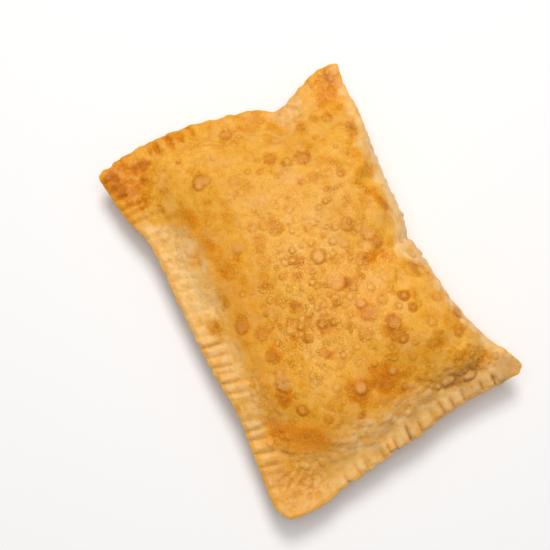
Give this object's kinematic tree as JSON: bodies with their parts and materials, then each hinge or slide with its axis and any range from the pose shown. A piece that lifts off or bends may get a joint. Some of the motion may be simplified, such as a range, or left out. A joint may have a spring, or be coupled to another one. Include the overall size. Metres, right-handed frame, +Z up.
{
  "type": "fried rectangular turnover",
  "caption": "Puffed rectangular turnover of thin fried dough, folded along one long side and pressed shut with a fork along the other three.",
  "frame": {"origin": "middle of the bounding box, on the table that the belly rests on", "axes": "+X along the length towards the pale end, +Y across towards the folded side, +Z up"},
  "size_m": [0.203, 0.141, 0.044],
  "materials": {
    "fried_dough": "satin"
  },
  "bodies": {
    "root": {"pastry": "fried_dough"}
  },
  "joints": []
}
